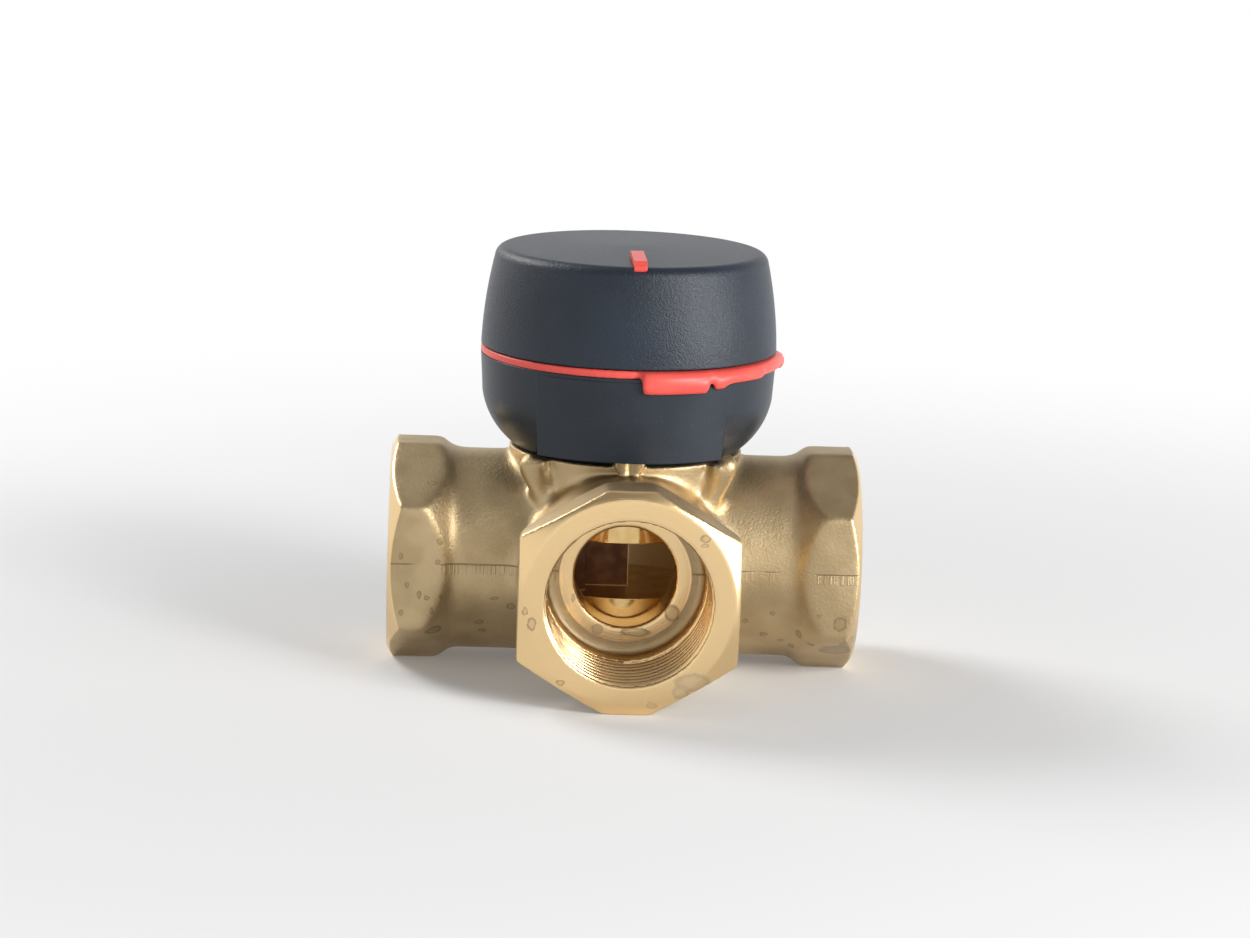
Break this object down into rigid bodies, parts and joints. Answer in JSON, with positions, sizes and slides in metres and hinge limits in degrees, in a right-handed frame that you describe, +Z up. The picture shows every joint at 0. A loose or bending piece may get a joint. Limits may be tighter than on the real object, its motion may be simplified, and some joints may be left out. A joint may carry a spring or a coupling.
{
  "type": "rotary mixing valve",
  "caption": "T-shaped forged brass valve with threaded ports, an inner rotor turned by a round pull-off knob, and a red scale ring under the knob.",
  "frame": {"origin": "where the three port axes cross, on the knob's axis", "axes": "+Z up along the knob's axis, side ports along -X and +X, front port towards -Y, closed side towards +Y"},
  "size_m": [0.072, 0.0587, 0.0656],
  "materials": {
    "forged_brass": "blasted forging with machined port faces and bores, water stains",
    "rotor_brass": "turned and milled brass",
    "composite": "moulded fibre-filled plastic",
    "slide_plastic": "smooth white sliding plastic",
    "seal_rubber": "smooth black rubber",
    "spring_steel": "plain spring steel",
    "collar_plastic": "satin dark grey moulded plastic",
    "knob_plastic": "fine textured dark grey moulded plastic",
    "red_plastic": "satin red moulded plastic"
  },
  "bodies": {
    "valve": {"valve_body": "forged_brass", "lower_thrust_washer": "slide_plastic", "upper_thrust_washer": "slide_plastic", "bushing": "composite", "bushing_o_ring": "seal_rubber", "bushing_retaining_ring": "spring_steel", "collar": "collar_plastic", "collar_snap_ring": "spring_steel", "scale_ring": "red_plastic"},
    "rotor": {"rotor": "rotor_brass", "shaft": "composite", "shaft_o_ring_lower": "seal_rubber", "shaft_o_ring_upper": "seal_rubber"},
    "knob": {"knob_cap": "knob_plastic", "knob_clip": "spring_steel", "knob_pointer": "red_plastic"}
  },
  "joints": [
    {"name": "rotor_turn", "type": "hinge", "parent": "valve", "child": "rotor", "pos_m": [0, 0, 0], "axis": [0, 0, 1], "range_deg": [0, 90]},
    {"name": "knob_pull", "type": "slide", "parent": "rotor", "child": "knob", "axis": [0, 0, 1], "range_m": [0, 0.02]}
  ]
}
